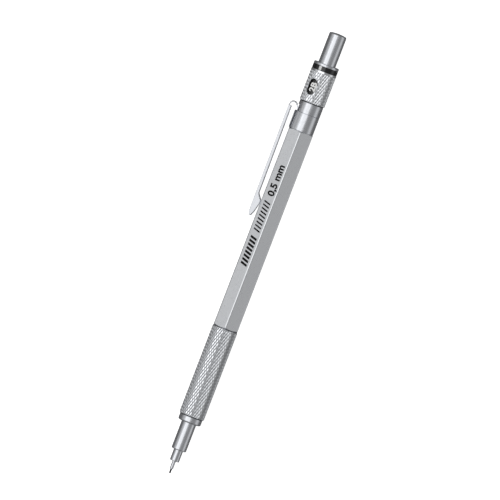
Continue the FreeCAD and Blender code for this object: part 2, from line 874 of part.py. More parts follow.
def make_clip():
    """Pressed clip: tang, slanting leg, bend, channel arm and closed foot."""
    body = new_body("clip")
    inner_bend = d.clip_bend_radius - d.clip_sheet
    arm_outside = d.clip_bend_y + d.clip_bend_radius
    arm_inside = arm_outside - d.clip_sheet
    front_outside = arm_outside - d.clip_arm_fall
    front_flange_edge = d.clip_flange_edge - d.clip_arm_fall
    foot_height = d.across_flats / 2 + d.joint_gap
    tip_bevel_x = d.clip_tip_x + d.clip_tip_bevel

    arm = new_sketch(body, "ArmOutline", "XY_Plane")
    draw_outline(
        arm,
        [
            (d.clip_bend_x, arm_outside),
            (tip_bevel_x, front_outside),
            (d.clip_tip_x, d.clip_tip_high),
            (d.clip_tip_x, d.clip_tip_low),
            (d.clip_curl_x, d.clip_curl_y),
            (d.clip_foot_front, foot_height),
            (d.clip_foot_rear, foot_height),
            (d.clip_heel_x, front_flange_edge),
            (d.clip_arm_rear, d.clip_flange_edge),
            (d.clip_arm_rear, arm_inside),
            (d.clip_bend_x, arm_inside),
        ],
    )
    block = padded(body, "Arm", arm, d.clip_width)

    def foot_corner(edge):
        box = edge.BoundBox
        across = box.XLength < 0.001 and box.YLength < 0.001
        at_foot = abs(box.YMin - foot_height.value) < 0.001
        at_heel = abs(box.XMin - d.clip_heel_x.value) < 0.001
        return across and (at_foot or at_heel)

    foot = rounded(body, "FootRounding", block, foot_corner, d.clip_foot_round)
    half = d.clip_width / 2

    def under_edge(edge):
        box = edge.BoundBox
        on_side = abs(abs(box.Center.z) - half.value) < 0.001 and box.ZLength < 0.001
        at_end = box.XLength < 0.001
        return on_side and not at_end and box.YMax < d.clip_flange_edge.value + 0.001

    rounded(body, "UnderRounding", foot, under_edge, d.clip_under_round)

    hollow = new_sketch(body, "HollowOutline", "XY_Plane")
    foot_floor = foot_height + d.clip_sheet
    open_side = d.clip_flange_edge - d.clip_sheet
    draw_outline(
        hollow,
        [
            (d.clip_arm_rear + d.edge_break, arm_inside),
            (tip_bevel_x + d.clip_sheet, front_outside - d.clip_sheet),
            (d.clip_foot_front, foot_floor),
            (d.clip_foot_rear, foot_floor),
            (d.clip_heel_x - d.clip_sheet, front_flange_edge),
            (d.clip_heel_x + d.clip_sheet, front_flange_edge - d.clip_sheet),
            (d.clip_arm_rear + d.edge_break, open_side),
        ],
    )
    pocketed(body, "Hollow", hollow, d.clip_width - d.clip_sheet * 2, midplane=True)

    bend = new_sketch(body, "BendSection", "YZ_Plane", offset=d.clip_bend_x)
    draw_outline(
        bend,
        [
            (arm_inside, -half),
            (arm_outside, -half),
            (arm_outside, half),
            (arm_inside, half),
        ],
    )
    axis_foot = FreeCAD.Vector(d.clip_bend_y.value, -half.value, 0)
    axis_head = FreeCAD.Vector(d.clip_bend_y.value, half.value, 0)
    axis = bend.addGeometry(Part.LineSegment(axis_foot, axis_head), True)
    pin_point(bend, axis, 1, (d.clip_bend_y, -half))
    pin_point(bend, axis, 2, (d.clip_bend_y, half))
    sweep = body.newObject("PartDesign::Revolution", "Bend")
    sweep.Profile = bend
    sweep.ReferenceAxis = (bend, ["Axis0"])
    sweep.Reversed = True
    bind(sweep, "Angle", 180 - d.clip_leg_slope)
    doc.recompute()

    lean = sine(d.clip_leg_slope)
    rise = cosine(d.clip_leg_slope)
    outer_end = (d.clip_bend_x + lean * d.clip_bend_radius, d.clip_bend_y - rise * d.clip_bend_radius)
    inner_end = (d.clip_bend_x + lean * inner_bend, d.clip_bend_y - rise * inner_bend)
    tang_low = d.tang_height
    tang_high = d.tang_height + d.clip_sheet
    low_corner = (outer_end[0] - (outer_end[1] - tang_low) / lean * rise, tang_low)
    high_corner = (inner_end[0] - (inner_end[1] - tang_high) / lean * rise, tang_high)
    leg = new_sketch(body, "LegOutline", "XY_Plane")
    draw_outline(leg, [low_corner, outer_end, inner_end, high_corner])
    padded(body, "Leg", leg, d.tang_width)
    tang_end = clip_ring_rear - d.tang_length
    tang = new_sketch(body, "TangOutline", "XY_Plane")
    draw_outline(tang, [(tang_end, tang_low), low_corner, high_corner, (tang_end, tang_high)])
    strip = padded(body, "Tang", tang, d.tang_width)

    def sheet_edge(edge):
        box = edge.BoundBox
        on_side = abs(abs(box.Center.z) - half.value) < 0.001 and box.ZLength < 0.001
        end_of_arm = box.XLength < 0.001 and abs(box.XMin - d.clip_arm_rear.value) < 0.001
        end_of_leg = box.YMin < tang_high.value + 0.001
        return on_side and not end_of_arm and not end_of_leg

    rounded(body, "EdgeRounding", strip, sheet_edge, d.clip_edge_round)
    return body


def make_grade_drum():
    """Black drum that carries the grade marks, with the black flange."""
    body = new_body("grade_drum")
    bore = d.bush_radius + d.joint_gap
    flange_rear = bush_flange_front - d.joint_gap
    groove_middle = neck_ring_rear + d.o_ring_place
    groove_front = groove_middle - d.o_ring_groove_width / 2
    groove_rear = groove_middle + d.o_ring_groove_width / 2
    turned(
        body,
        "Drum",
        [
            (neck_ring_rear, bore),
            (neck_ring_rear, d.drum_radius),
            (groove_front, d.drum_radius),
            (groove_front, d.o_ring_groove),
            (groove_rear, d.o_ring_groove),
            (groove_rear, d.drum_radius),
            (drum_flange_front, d.drum_radius),
            (drum_flange_front, d.flange_radius - d.edge_break),
            (drum_flange_front + d.edge_break, d.flange_radius),
            (flange_rear - d.edge_break, d.flange_radius),
            (flange_rear, d.flange_radius - d.edge_break),
            (flange_rear, bore),
        ],
    )
    return body


def make_grade_sleeve():
    """Turning sleeve with one long window."""
    body = new_body("grade_sleeve")
    front = neck_ring_rear + d.running_gap
    rear = drum_flange_front - d.running_gap
    tube(body, "Sleeve", front, rear, d.grade_sleeve_radius, d.sleeve_bore, d.knurl_chamfer)
    middle = d.window_middle
    radius = d.window_width / 2
    straight = (d.window_length - d.window_width) / 2
    sketch = new_sketch(body, "WindowOutline", "XY_Plane", turn=-d.window_angle)
    draw_outline(
        sketch,
        [
            (middle - straight, -radius),
            (middle + straight, -radius),
            (middle + straight, radius),
            (middle - straight, radius),
        ],
    )
    height = d.grade_sleeve_radius + d.edge_break
    pocketed(body, "Window", sketch, height, reverse=True)
    for name, x in (("FrontEnd", middle - straight), ("RearEnd", middle + straight)):
        sketch = new_sketch(body, "Window" + name, "XY_Plane", turn=-d.window_angle)
        draw_circle(sketch, (x, ZERO), radius)
        pocketed(body, name, sketch, height, reverse=True)
    return body


def make_drum_o_ring():
    body = new_body("drum_o_ring")
    sketch = new_sketch(body, "Cord", "XZ_Plane")
    draw_circle(sketch, (neck_ring_rear + d.o_ring_place, d.o_ring_radius), d.o_ring_cord)
    ring = body.newObject("PartDesign::Revolution", "Ring")
    ring.Profile = sketch
    ring.ReferenceAxis = (sketch, ["H_Axis"])
    ring.Angle = 360
    doc.recompute()
    return body


# ------------------------------------------------ button and eraser

def make_push_button():
    """Closed cap that slides in the bush and grips the lead tube."""
    body = new_body("push_button")
    front = button_top - d.button_length
    rim = button_top - d.button_dome
    cup = turned(
        body,
        "Cap",
        [
            (front, d.button_bore),
            (front, d.button_radius - d.edge_break),
            (front + d.edge_break, d.button_radius),
            (rim, d.button_radius),
            (button_top - d.button_crown_drop, d.button_crown_radius),
            (button_top, ZERO),
            (button_top - d.button_end, ZERO),
            (button_top - d.button_end, d.button_bore),
        ],
    )
    edge = ring_at(rim, d.button_radius)
    rounded(body, "RimRounding", cup, edge, d.button_round)
    return body


def make_eraser_ferrule():
    """Metal cup that plugs the lead tube and holds the eraser."""
    body = new_body("eraser_ferrule")
    floor = ferrule_front + d.ferrule_wall
    rim_front = d.tube_rear + d.joint_gap
    rim_rear = rim_front + d.ferrule_rim
    turned(
        body,
        "Cup",
        [
            (ferrule_front, ZERO),
            (ferrule_front, d.ferrule_radius),
            (rim_front, d.ferrule_radius),
            (rim_front, d.tube_radius),
            (rim_rear, d.tube_radius),
            (rim_rear, d.ferrule_bore),
            (floor, d.ferrule_bore),
            (floor, ZERO),
        ],
    )
    return body


def make_eraser():
    body = new_body("eraser")
    front = ferrule_front + d.ferrule_wall + d.joint_gap
    rear = front + d.eraser_length
    stick = rod(body, "Stick", front, rear, d.eraser_radius)
    rounded(body, "EndRounding", stick, ring_at(rear, d.eraser_radius), d.eraser_round)
    return body


def export(bodies):
    """Check every object, then write one file for each sub-part."""
    doc.recompute()
    for item in doc.Objects:
        if "Invalid" in item.State or "Error" in item.State:
            raise RuntimeError(f"{item.Label}: state {item.State}")
    os.makedirs("parts", exist_ok=True)
    for body in bodies:
        shape = body.Shape
        if shape.isNull() or not shape.isValid() or len(shape.Solids) != 1:
            raise RuntimeError(f"{body.Label}: shape is not one valid solid")
        shape.exportStep(f"parts/{body.Label}.step")


export(
    [
        make_lead_pipe(),
        make_tip_sleeve(),
        make_lead_retainer(),
        make_nose(),
        make_grip(),
        make_clutch_housing(),
        make_clutch_ring(),
        make_chuck(),
        make_return_spring(),
        make_lead_tube(),
        make_lead(),
        make_spare_lead("spare_lead_left", 1),
        make_spare_lead("spare_lead_right", -1),
        make_barrel_connector(),
        make_barrel(),
        make_tail_bush(),
        make_clip_ring(),
        make_neck_ring(),
        make_clip(),
        make_grade_drum(),
        make_grade_sleeve(),
        make_drum_o_ring(),
        make_push_button(),
        make_eraser_ferrule(),
        make_eraser(),
    ]
)
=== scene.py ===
import json
import math

import bmesh
import bpy
from mathutils import Matrix, Vector


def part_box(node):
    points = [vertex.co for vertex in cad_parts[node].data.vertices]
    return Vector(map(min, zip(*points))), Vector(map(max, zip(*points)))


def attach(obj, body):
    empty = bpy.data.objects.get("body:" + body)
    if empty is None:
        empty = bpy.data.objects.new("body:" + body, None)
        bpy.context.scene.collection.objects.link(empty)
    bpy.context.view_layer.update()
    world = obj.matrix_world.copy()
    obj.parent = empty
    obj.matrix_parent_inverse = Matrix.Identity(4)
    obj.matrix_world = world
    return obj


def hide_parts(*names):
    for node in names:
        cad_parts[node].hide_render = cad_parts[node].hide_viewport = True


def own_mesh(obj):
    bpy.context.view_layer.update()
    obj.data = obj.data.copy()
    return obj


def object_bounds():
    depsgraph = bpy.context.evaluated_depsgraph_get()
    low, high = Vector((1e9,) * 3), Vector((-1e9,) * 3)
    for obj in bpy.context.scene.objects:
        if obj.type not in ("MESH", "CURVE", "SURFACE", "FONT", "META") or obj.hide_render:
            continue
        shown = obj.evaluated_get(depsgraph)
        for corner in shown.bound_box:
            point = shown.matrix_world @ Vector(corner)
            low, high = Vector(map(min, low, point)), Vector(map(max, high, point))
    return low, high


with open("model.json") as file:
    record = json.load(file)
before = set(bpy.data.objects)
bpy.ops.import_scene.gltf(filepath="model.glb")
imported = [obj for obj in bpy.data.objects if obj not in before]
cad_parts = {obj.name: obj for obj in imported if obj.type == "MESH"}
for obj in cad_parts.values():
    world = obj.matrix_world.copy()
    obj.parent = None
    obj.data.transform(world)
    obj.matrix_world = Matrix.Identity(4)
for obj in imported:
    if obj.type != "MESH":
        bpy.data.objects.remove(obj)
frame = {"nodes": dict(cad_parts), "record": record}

cad_low, cad_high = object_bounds()

MM = 0.001
TURN = 2 * math.pi
WHITE = (1, 1, 1, 1)

# Sizes of the visual model, in millimetres, in the frame of the CAD parts.

# The knurl: how many grooves of each set go round the part, its repeat along the
# part, the depth of the main grooves, and the distances from the axis between which
# its colour goes from darkest to lightest, a painted shade in the grooves. The rear
# end of the grade sleeve has a plain rim, and the grooves run out in front of it.
KNURL_STARTS = 35
KNURL_PERIOD = 2.08
KNURL_DEPTH = 0.138
KNURL_PAINTED_SHADE = (3.94, 4.02)
KNURL_CHAMFER = 0.3
PLAIN_RIM = 0.7
PLAIN_CHAMFER = 0.08
KNURL_RUN_OUT = 0.05

# Across one ridge of each set of grooves: where its crest starts and ends, as
# shares of the spacing, and how deep it lies at its foot, crest start and crest end.
MAIN_RIDGE = ((0, 0.32, 0.90), (KNURL_DEPTH, 0, 0.055))
CROSS_RIDGE = ((0, 0.2, 0.92), (0.1, 0, 0.02))

# Radii of the holes in the knurled parts, and how deep the wide ones go.
GRIP_BORE = 3.0
NOSE_HOLE_RADIUS = 3.22
NOSE_HOLE_DEPTH = 5.8
CONNECTOR_HOLE_RADIUS = 3.32
CONNECTOR_HOLE_DEPTH = 5.88
SLEEVE_BORE = 3.5

# The window of the grade sleeve: its place along the pencil, its turn from straight
# up toward the clip in degrees, and its size. The block that cuts it reaches over
# these two distances from the axis.
WINDOW_MIDDLE = 94.3
WINDOW_ANGLE = 27
WINDOW_LENGTH = 5.2
WINDOW_WIDTH = 2.9
CUTTER_REACH = (2.0, 6.0)

# The return spring: its coils, and the radii of their centre line and of the wire.
SPRING_COILS = 12
SPRING_RADIUS = 1.45
SPRING_WIRE_RADIUS = 0.15

# Printed marks: how far the ink stands out of the surface and reaches into it, how
# much bolder than the plain font the letters are, and the surfaces that carry the
# marks. The printed facet is turned this many degrees from straight up.
INK_THICKNESS = 0.012
BOLDNESS = 0.035
HALF_FLAT = 3.89
FACET_TURN = 30
DRUM_RADIUS = 3.45

# The barrel print: its height, how far its foot lies from the middle of the facet,
# the start, end, number and thickness of each row of bars, how far the bars lean
# over as a share of their height, and where the lead size starts.
PRINT_HEIGHT = 2.45
PRINT_BASE = -1.35
BAR_ROWS = ((34.9, 44.8, 8, 0.75), (46.2, 56.4, 9, 0.5))
BAR_LEAN = 0.25
LEAD_SIZE_START = 58.1

# The marks round the drum, in order; one of them is under the window at rest.
GRADES = ("H", "F", "HB", "2B", "B", "2H")
GRADE_IN_WINDOW = GRADES.index("2B")
GRADE_HEIGHT = 2.0
GRADE_BANDS = 10

# Steps used to draw round shapes.
BORE_STEPS = 72
WINDOW_END_STEPS = 16
COIL_STEPS = 24
WIRE_SIDES = 10


# ------------------------------------------------------------ node helpers

def new_material(name):
    """Material with one Principled shader; returns it with its node tree and shader."""
    material = bpy.data.materials.new(name)
    material.use_nodes = True
    tree = material.node_tree
    return material, tree, tree.nodes["Principled BSDF"]


def millimetres(tree, stretch=(1, 1, 1)):
    """Object coordinates in millimetres, optionally stretched for streaky textures."""
    coordinates = tree.nodes.new("ShaderNodeTexCoord")
    mapping = tree.nodes.new("ShaderNodeMapping")
    mapping.inputs["Scale"].default_value = [factor / MM for factor in stretch]
    tree.links.new(coordinates.outputs["Object"], mapping.inputs["Vector"])
    return mapping.outputs["Vector"]


def noise(tree, vector, scale, detail=3):
    """Smooth random value about 0.5; a larger scale gives a finer grain."""
    texture = tree.nodes.new("ShaderNodeTexNoise")
    texture.inputs["Scale"].default_value = scale
    texture.inputs["Detail"].default_value = detail
    tree.links.new(vector, texture.inputs["Vector"])
    return texture.outputs["Fac"]


def map_range(tree, value, from_range, to_range, kind="LINEAR"):
    """Carry one range of a value over to another, holding it at the ends."""
    remap = tree.nodes.new("ShaderNodeMapRange")
    remap.interpolation_type = kind
    remap.inputs["From Min"].default_value = from_range[0]
    remap.inputs["From Max"].default_value = from_range[1]
    remap.inputs["To Min"].default_value = to_range[0]
    remap.inputs["To Max"].default_value = to_range[1]
    tree.links.new(value, remap.inputs["Value"])
    return remap.outputs["Result"]


def spread(tree, value, low, high):
    """Map the middle of a noise's range onto low to high."""
    return map_range(tree, value, (0.3, 0.7), (low, high))


def fades_out(tree, value, start, end):
    """One up to start, zero from end on, smooth between."""
    return map_range(tree, value, (start, end), (1, 0), "SMOOTHSTEP")


def math_node(tree, operation, first, second=None):
    """Result of a sum or function of sockets and plain numbers."""
    node = tree.nodes.new("ShaderNodeMath")
    node.operation = operation
    for socket, value in zip(node.inputs, (first, second)):
        if hasattr(value, "links"):
            tree.links.new(value, socket)
        elif value is not None:
            socket.default_value = value
    return node.outputs["Value"]


def two_tones(tree, value, dark, light):
    """Colour between two tones, chosen by a value from 0 to 1."""
    mix = tree.nodes.new("ShaderNodeMix")
    mix.data_type = "RGBA"
    mix.inputs["A"].default_value = (*dark, 1)
    mix.inputs["B"].default_value = (*light, 1)
    tree.links.new(value, mix.inputs["Factor"])
    return mix.outputs["Result"]


def add_bump(tree, shader, height, distance, strength=1.0):
    """Fine relief from a height of 0 to 1; distance is its depth in millimetres."""
    bump = tree.nodes.new("ShaderNodeBump")
    bump.inputs["Distance"].default_value = distance * MM
    bump.inputs["Strength"].default_value = strength
    tree.links.new(height, bump.inputs["Height"])
    tree.links.new(bump.outputs["Normal"], shader.inputs["Normal"])


def around_axis(tree):
    """Distance of the surface from the pencil's axis, in millimetres."""
    parts = tree.nodes.new("ShaderNodeSeparateXYZ")
    tree.links.new(millimetres(tree), parts.inputs["Vector"])
    flat = tree.nodes.new("ShaderNodeCombineXYZ")
    tree.links.new(parts.outputs["Y"], flat.inputs["Y"])
    tree.links.new(parts.outputs["Z"], flat.inputs["Z"])
    length = tree.nodes.new("ShaderNodeVectorMath")
    length.operation = "LENGTH"
    tree.links.new(flat.outputs["Vector"], length.inputs[0])
    return length.outputs["Value"]


# ------------------------------------------------------------ materials

def turned_metal(name, dark, light, roughness):
    """Turned metal: faint lathe rings round X and slow changes of tone."""
    material, tree, shader = new_material(name)
    shader.inputs["Metallic"].default_value = 1
    rings = noise(tree, millimetres(tree, stretch=(9, 0.4, 0.4)), scale=1.0)
    cloud = noise(tree, millimetres(tree), scale=0.8)
    tree.links.new(two_tones(tree, cloud, dark, light), shader.inputs["Base Color"])
    tree.links.new(spread(tree, rings, *roughness), shader.inputs["Roughness"])
    add_bump(tree, shader, rings, distance=0.002)
    return material


def satin_aluminium():
    """Matt silver with a fine grain, very slightly mottled."""
    material, tree, shader = new_material("satin_aluminium")
    shader.inputs["Metallic"].default_value = 1
    place = millimetres(tree)
    cloud = noise(tree, place, scale=0.9, detail=5)
    tones = two_tones(tree, cloud, (0.88, 0.89, 0.91), (0.94, 0.95, 0.97))
    tree.links.new(tones, shader.inputs["Base Color"])
    tree.links.new(spread(tree, cloud, 0.26, 0.32), shader.inputs["Roughness"])
    grain = noise(tree, place, scale=6.0, detail=6)
    add_bump(tree, shader, grain, distance=0.004, strength=0.5)
    return material


def knurled_metal():
    """Bright metal with painted shade: its grooves are darker than the tops of the knurl."""
    material, tree, shader = new_material("knurled_metal")
    shader.inputs["Metallic"].default_value = 1
    # Painted shade: the colour darkens from the tops of the knurl down into its grooves.
    top = map_range(tree, around_axis(tree), KNURL_PAINTED_SHADE, (0, 1))
    tones = two_tones(tree, top, (0.30, 0.31, 0.33), (0.95, 0.96, 0.98))
    tree.links.new(tones, shader.inputs["Base Color"])
    grain = noise(tree, millimetres(tree), scale=3.0, detail=4)
    tree.links.new(spread(tree, grain, 0.08, 0.14), shader.inputs["Roughness"])
    add_bump(tree, shader, grain, distance=0.01, strength=0.6)
    return material


def spring_steel():
    """Polished steel with faint lines along X."""
    material, tree, shader = new_material("spring_steel")
    shader.inputs["Metallic"].default_value = 1
    lines = noise(tree, millimetres(tree, stretch=(0.3, 8, 8)), scale=1.0)
    tones = two_tones(tree, lines, (0.76, 0.77, 0.80), (0.86, 0.87, 0.90))
    tree.links.new(tones, shader.inputs["Base Color"])
    tree.links.new(spread(tree, lines, 0.22, 0.30), shader.inputs["Roughness"])
    return material


def black_gloss():
    """Glossy black plastic, slightly uneven."""
    material, tree, shader = new_material("black_plastic")
    cloud = noise(tree, millimetres(tree), scale=1.5)
    tones = two_tones(tree, cloud, (0.0008, 0.0008, 0.0008), (0.002, 0.002, 0.002))
    tree.links.new(tones, shader.inputs["Base Color"])
    tree.links.new(spread(tree, cloud, 0.08, 0.12), shader.inputs["Roughness"])
    shader.inputs["IOR"].default_value = 1.7
    return material


def tube_plastic():
    """Milky plastic that lets a little light in."""
    material, tree, shader = new_material("tube_plastic")
    cloud = noise(tree, millimetres(tree, stretch=(0.2, 1, 1)), scale=1.2)
    tones = two_tones(tree, cloud, (0.66, 0.70, 0.70), (0.80, 0.83, 0.82))
    tree.links.new(tones, shader.inputs["Base Color"])
    tree.links.new(spread(tree, cloud, 0.35, 0.45), shader.inputs["Roughness"])
    shader.inputs["Subsurface Weight"].default_value = 0.1
    shader.inputs["Subsurface Scale"].default_value = 0.5 * MM
    return material


def graphite():
    """Dark grey lead with streaks along X."""
    material, tree, shader = new_material("graphite")
    streaks = noise(tree, millimetres(tree, stretch=(1, 12, 12)), scale=1.0, detail=5)
    tones = two_tones(tree, streaks, (0.006, 0.006, 0.007), (0.02, 0.02, 0.022))
    tree.links.new(tones, shader.inputs["Base Color"])
    tree.links.new(spread(tree, streaks, 0.35, 0.5), shader.inputs["Roughness"])
    shader.inputs["Metallic"].default_value = 0.2
    return material


def rubber(name, dark, light, fineness):
    """Matt rubber with a fine grain."""
    material, tree, shader = new_material(name)
    grain = noise(tree, millimetres(tree), scale=fineness, detail=6)
    tree.links.new(two_tones(tree, grain, dark, light), shader.inputs["Base Color"])
    tree.links.new(spread(tree, grain, 0.7, 0.9), shader.inputs["Roughness"])
    add_bump(tree, shader, grain, distance=0.02, strength=0.7)
    return material


def printed_ink(name, dark, light, glow=0):
    """Thin ink with a slightly uneven coat; glow is painted light that lifts a white ink in a dark
    window.
    """
    material, tree, shader = new_material(name)
    coat = noise(tree, millimetres(tree), scale=5.0, detail=4)
    tree.links.new(two_tones(tree, coat, dark, light), shader.inputs["Base Color"])
    tree.links.new(spread(tree, coat, 0.4, 0.6), shader.inputs["Roughness"])
    shader.inputs["Specular IOR Level"].default_value = 0.2
    shader.inputs["Emission Color"].default_value = WHITE
    shader.inputs["Emission Strength"].default_value = glow
    return material


MATERIALS = {
    "bright_steel": turned_metal("bright_steel", (0.74, 0.75, 0.78), (0.84, 0.85, 0.88), (0.2, 0.28)),
    "satin_chrome": turned_metal("satin_chrome", (0.76, 0.77, 0.80), (0.84, 0.85, 0.88), (0.22, 0.30)),
    "knurled_metal": knurled_metal(),
    "satin_aluminium": satin_aluminium(),
    "spring_steel": spring_steel(),
    "brass": turned_metal("brass", (0.60, 0.43, 0.16), (0.78, 0.60, 0.28), (0.2, 0.32)),
    "black_plastic": black_gloss(),
    "tube_plastic": tube_plastic(),
    "graphite": graphite(),
    "white_eraser": rubber("white_eraser", (0.74, 0.74, 0.72), (0.88, 0.88, 0.86), 3.0),
    "black_rubber": rubber("black_rubber", (0.01, 0.01, 0.01), (0.03, 0.03, 0.03), 4.0),
}
BLACK_INK = printed_ink("black_ink", (0.001, 0.001, 0.001), (0.003, 0.003, 0.003))
# The white ink glows: painted light that lifts the grade marks in the shaded window.
WHITE_INK = printed_ink("white_ink", (0.86, 0.86, 0.84), (0.92, 0.92, 0.90), glow=0.25)

# The material slot and the moving body of each node of the CAD parts.
SLOT_OF = {row["node"]: row["material_slot"] for row in frame["record"]["subparts"]}
BODY_OF = {
    node: body
    for body, nodes in frame["record"]["behaviour"]["bodies"].items()
    for node in nodes
}


# ------------------------------------------------------------ mesh helpers

def finish_mesh(bm, name, smooth_angle=None):
    """Turn a mesh drawn in millimetres into an object of the scene, in metres."""
    bmesh.ops.remove_doubles(bm, verts=bm.verts, dist=1e-5)
    bmesh.ops.recalc_face_normals(bm, faces=bm.faces)
    bmesh.ops.scale(bm, vec=(MM, MM, MM), verts=bm.verts)
    mesh = bpy.data.meshes.new(name)
    bm.to_mesh(mesh)
    bm.free()
    thing = bpy.data.objects.new(name, mesh)
    bpy.context.scene.collection.objects.link(thing)
    if smooth_angle is not None:
        mesh.shade_smooth()
        mesh.set_sharp_from_angle(angle=math.radians(smooth_angle))
    return thing


def place_piece(thing, node, material, replaces=True):
    """Let a piece ride with the body of a CAD node, in that node's place or beside it."""
    thing.data.materials.clear()
    thing.data.materials.append(material)
    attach(thing, BODY_OF[node])
    if replaces:
        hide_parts(node)


def angle_of(vertex):
    """Angle of a vertex round the X axis, from 0 to a whole turn."""
    return math.atan2(vertex.co.z, vertex.co.y) % TURN


def round_ring(bm, x, radius):
    """Vertices of a circle round the X axis, in order of angle."""
    ring = []
    for i in range(BORE_STEPS):
        angle = TURN * i / BORE_STEPS
        ring.append(bm.verts.new((x, radius * math.cos(angle), radius * math.sin(angle))))
    return ring


def join_rings(bm, first, second):
    """Band of triangles between two rings whose vertices are in order of angle."""

    def angle_at(ring, i):
        return angle_of(ring[i % len(ring)]) + TURN * (i // len(ring))

    i = j = 0
    while i < len(first) or j < len(second):
        step_first = angle_at(first, i + 1) <= angle_at(second, j + 1)
        if i == len(first):
            step_first = False
        if j == len(second):
            step_first = True
        a = first[i % len(first)]
        b = second[j % len(second)]
        if step_first:
            i += 1
            corners = (a, b, first[i % len(first)])
        else:
            j += 1
            corners = (a, b, second[j % len(second)])
        bm.faces.new(corners)


def prism(bm, outline, bottom, top):
    """Upright block over an outline of (x, y)."""
    low = [bm.verts.new((x, y, bottom)) for x, y in outline]
    high = [bm.verts.new((x, y, top)) for x, y in outline]
    bm.faces.new(low[::-1])
    bm.faces.new(high)
    for i in range(len(outline)):
        following = (i + 1) % len(outline)
        bm.faces.new((low[i], low[following], high[following], high[i]))


def cut_across(bm, x, keep=None):
    """Cut the mesh square to X; keep is +1 or -1 to drop the other side."""
    geometry = bm.verts[:] + bm.edges[:] + bm.faces[:]
    bmesh.ops.bisect_plane(
        bm,
        geom=geometry,
        dist=1e-5,
        plane_co=(x, 0, 0),
        plane_no=(-keep if keep else 1, 0, 0),
        clear_outer=keep is not None,
    )


# ------------------------------------------------------------ knurled parts

def knurl_skin(bm, front, rear, radius):
    """Skin of leaning diamonds between a main and a crossing set of grooves.

    Crossing groove i runs where u = i and main groove j where v = j; u + v grows
    round the cylinder and u - v grows along it."""
    cross_places, cross_drops = CROSS_RIDGE
    main_places, main_drops = MAIN_RIDGE
    made = {}

    def corner(i, p, j, q):
        """Vertex at foot, crest start or crest end p of crossing ridge i and q of main ridge j."""
        if p == 3:
            i, p = i + 1, 0
        if q == 3:
            j, q = j + 1, 0
        whole_turns = i // KNURL_STARTS
        key = (i - whole_turns * KNURL_STARTS, p, j - whole_turns * KNURL_STARTS, q)
        if key not in made:
            u = key[0] + cross_places[p]
            v = key[2] + main_places[q]
            angle = math.pi * (u + v) / KNURL_STARTS
            x = front + KNURL_PERIOD * (u - v) / 2
            r = radius - max(cross_drops[p], main_drops[q])
            made[key] = bm.verts.new((x, r * math.cos(angle), r * math.sin(angle)))
        return made[key]

    # Two rows to spare at each end; the ends are cut square later.
    rows = math.ceil((rear - front) / KNURL_PERIOD * 2) + 2
    for row in range(-2, rows):
        for across in range(KNURL_STARTS):
            i = across
            j = across - row
            for p in range(3):
                for q in range(3):
                    a = corner(i, p, j, q)
                    b = corner(i, p + 1, j, q)
                    c = corner(i, p + 1, j, q + 1)
                    e = corner(i, p, j, q + 1)
                    # A face is folded along the diagonal where its two slopes meet.
                    if p == q:
                        bm.faces.new((a, b, c))
                        bm.faces.new((a, c, e))
                    elif p != 1 and q != 1:
                        bm.faces.new((a, b, e))
                        bm.faces.new((b, c, e))
                    else:
                        bm.faces.new((a, b, c, e))


def finish_knurl_ends(bm, front, rear, radius, plain_rim):
    """Cut the skin square, chamfer its ends and press the plain rim smooth."""
    rear_chamfer = PLAIN_CHAMFER if plain_rim else KNURL_CHAMFER
    plain_front = rear - (PLAIN_RIM if plain_rim else KNURL_CHAMFER)
    cut_across(bm, front, keep=1)
    cut_across(bm, rear, keep=-1)
    cut_across(bm, front + KNURL_CHAMFER)
    cut_across(bm, rear - rear_chamfer)
    cut_across(bm, plain_front)
    cut_across(bm, plain_front - KNURL_RUN_OUT)
    for vertex in bm.verts:
        at_front = KNURL_CHAMFER - (vertex.co.x - front)
        at_rear = rear_chamfer - (rear - vertex.co.x)
        limit = radius - min(max(0, at_front, at_rear), KNURL_CHAMFER)
        r = math.hypot(vertex.co.y, vertex.co.z)
        in_rim = plain_rim and vertex.co.x > plain_front - 1e-4
        if r > limit or in_rim:
            vertex.co.y *= limit / r
            vertex.co.z *= limit / r


def open_end(bm, x):
    """Vertices of the open edge of the skin at x, in order of angle."""
    edge_verts = {v for edge in bm.edges if edge.is_boundary for v in edge.verts}
    return sorted((v for v in edge_verts if abs(v.co.x - x) < 1e-4), key=angle_of)


def knurled_tube(name, front, rear, radius, bore, plain_rim=False):
    """Closed tube with a knurled outside, with or without a smooth rim at the rear.

    The bore is a list of (x, radius)."""
    bm = bmesh.new()
    knurl_skin(bm, front, rear, radius)
    finish_knurl_ends(bm, front, rear, radius, plain_rim)
    front_edge = open_end(bm, front)
    rear_edge = open_end(bm, rear)
    rings = [front_edge, *(round_ring(bm, x, r) for x, r in bore), rear_edge]
    for ring, following in zip(rings, rings[1:]):
        join_rings(bm, ring, following)
    return finish_mesh(bm, name)


def window_cutter():
    """Block with two round ends that cuts the window, standing out from the axis."""
    straight = WINDOW_LENGTH - WINDOW_WIDTH
    outline = []
    for side in (1, -1):
        for i in range(WINDOW_END_STEPS + 1):
            angle = math.pi * (i / WINDOW_END_STEPS - 0.5)
            x = side * (straight / 2 + WINDOW_WIDTH / 2 * math.cos(angle))
            outline.append((WINDOW_MIDDLE + x, side * WINDOW_WIDTH / 2 * math.sin(angle)))
    bm = bmesh.new()
    prism(bm, outline, *CUTTER_REACH)
    turn = Matrix.Rotation(-math.radians(WINDOW_ANGLE), 3, "X")
    bmesh.ops.rotate(bm, matrix=turn, verts=bm.verts)
    return finish_mesh(bm, "window_cutter")


def cut_with(thing, cutter):
    """Apply an exact difference and throw the cutter away."""
    modifier = thing.modifiers.new("cut", "BOOLEAN")
    modifier.operation = "DIFFERENCE"
    modifier.solver = "EXACT"
    modifier.object = cutter
    graph = bpy.context.evaluated_depsgraph_get()
    mesh = bpy.data.meshes.new_from_object(thing.evaluated_get(graph))
    thing.modifiers.clear()
    thing.data = mesh
    bpy.data.objects.remove(cutter)


def outside_of(node):
    """Front end, rear end and outside radius of a turned node."""
    low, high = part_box(node)
    return low.x / MM, high.x / MM, -low.y / MM


